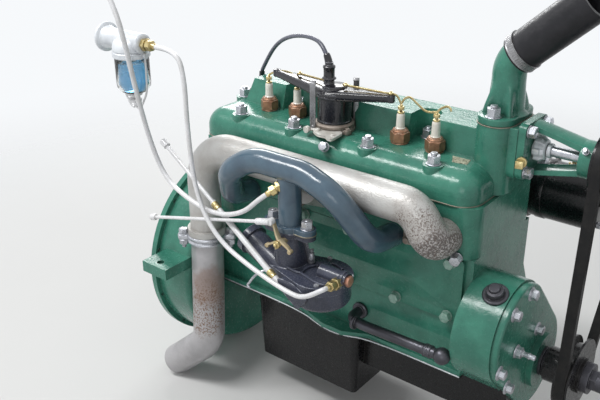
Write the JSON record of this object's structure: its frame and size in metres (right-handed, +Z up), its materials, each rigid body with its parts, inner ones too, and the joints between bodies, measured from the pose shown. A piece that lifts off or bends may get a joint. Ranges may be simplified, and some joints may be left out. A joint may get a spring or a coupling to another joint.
{
  "type": "inline four-cylinder engine",
  "caption": "Side-valve petrol engine with manifolds, carburettor, distributor, water pump, fan, generator, starter, flywheel housing and fuel strainer.",
  "frame": {"origin": "on the crankshaft's axis, at the rear face of the flywheel housing", "axes": "+X forward along the crankshaft, +Y to the engine's left, +Z up"},
  "size_m": [0.8601, 0.5742, 0.8383],
  "materials": {
    "engine_green": "semi-gloss green enamel on cast iron",
    "exhaust_cast": "pale metallic coating, grainy and burnt at the front",
    "exhaust_pipe_metal": "pale metallic coating with a rusty patch",
    "intake_blue": "glossy blue-grey enamel",
    "carburettor_iron": "dark blue-grey satin enamel on iron",
    "black_moulding": "black moulded insulator",
    "black_paint": "black gloss enamel",
    "dark_steel": "dark oiled steel",
    "weathered_metal": "weathered bare metal",
    "lever_metal": "dull pale metal",
    "zinc_steel": "bright zinc-plated steel",
    "bright_tube": "whitish plated tube",
    "strainer_cast": "pale die-cast metal",
    "clear_glass": "clear pressed glass",
    "brass_fitting": "tarnished brass",
    "copper_shell": "brown heat-tinted steel",
    "porcelain": "white glazed porcelain",
    "gasket_metal": "bare gasket edge",
    "hose_rubber": "black reinforced rubber",
    "belt_rubber": "black rubber belt",
    "lead_cover": "grey satin lead cover"
  },
  "bodies": {
    "engine": {"advance_lever": "lever_metal", "carburettor_body": "carburettor_iron", "carburettor_bowl": "carburettor_iron", "case_plug": "zinc_steel", "choke_rod": "bright_tube", "cover_bolts": "engine_green", "cylinder_block": "engine_green", "cylinder_head": "engine_green", "distributor_base": "weathered_metal", "distributor_body": "black_moulding", "distributor_cap": "black_moulding", "distributor_clips": "lever_metal", "exhaust_clamp": "weathered_metal", "exhaust_manifold": "exhaust_cast", "exhaust_pipe": "exhaust_pipe_metal", "fan_belt": "belt_rubber", "flywheel_housing": "engine_green", "front_bolts": "zinc_steel", "fuel_pipe": "bright_tube", "generator": "black_paint", "generator_cradle": "black_paint", "head_gasket": "gasket_metal", "head_nuts": "zinc_steel", "hose_clamp": "zinc_steel", "ignition_lead": "lead_cover", "intake_manifold": "intake_blue", "lead_terminal": "black_moulding", "manifold_clamps": "weathered_metal", "oil_filler_tube": "engine_green", "oil_pan": "black_paint", "oil_return_pipe": "dark_steel", "pipe_fittings": "brass_fitting", "plug_insulators": "porcelain", "plug_shells": "copper_shell", "plug_terminals": "brass_fitting", "pump_body": "engine_green", "pump_packing_nut": "weathered_metal", "starter_motor": "black_paint", "strainer_bail": "bright_tube", "strainer_body": "strainer_cast", "strainer_bowl": "clear_glass", "throttle_lever": "zinc_steel", "throttle_rod": "bright_tube", "timing_cover": "engine_green", "timing_pin": "zinc_steel", "vacuum_pipe": "bright_tube", "valve_cover": "engine_green", "water_hose": "hose_rubber", "water_inlet": "engine_green", "water_outlet": "engine_green"},
    "crank": {"crankshaft": "dark_steel", "crank_pulley": "black_paint", "crank_ratchet": "dark_steel", "flywheel": "dark_steel", "ring_gear": "dark_steel", "clutch_cover": "dark_steel"},
    "fan_rotor": {"fan_shaft": "zinc_steel", "fan_pulley": "black_paint", "fan": "black_paint"},
    "generator_rotor": {"generator_pulley": "black_paint"}
  },
  "joints": [
    {"name": "crank_spin", "type": "hinge", "parent": "engine", "child": "crank", "pos_m": [0, 0, 0], "axis": [1, 0, 0], "continuous": true},
    {"name": "fan_spin", "type": "hinge", "parent": "engine", "child": "fan_rotor", "pos_m": [0.8, 0, 0.371], "axis": [1, 0, 0], "continuous": true},
    {"name": "generator_spin", "type": "hinge", "parent": "engine", "child": "generator_rotor", "pos_m": [0.8, 0.162, 0.236], "axis": [1, 0, 0], "continuous": true}
  ],
  "couplings": [
    {"joint": "fan_spin", "follows": "crank_spin", "ratio": 1.3478},
    {"joint": "generator_spin", "follows": "crank_spin", "ratio": 1.55}
  ]
}
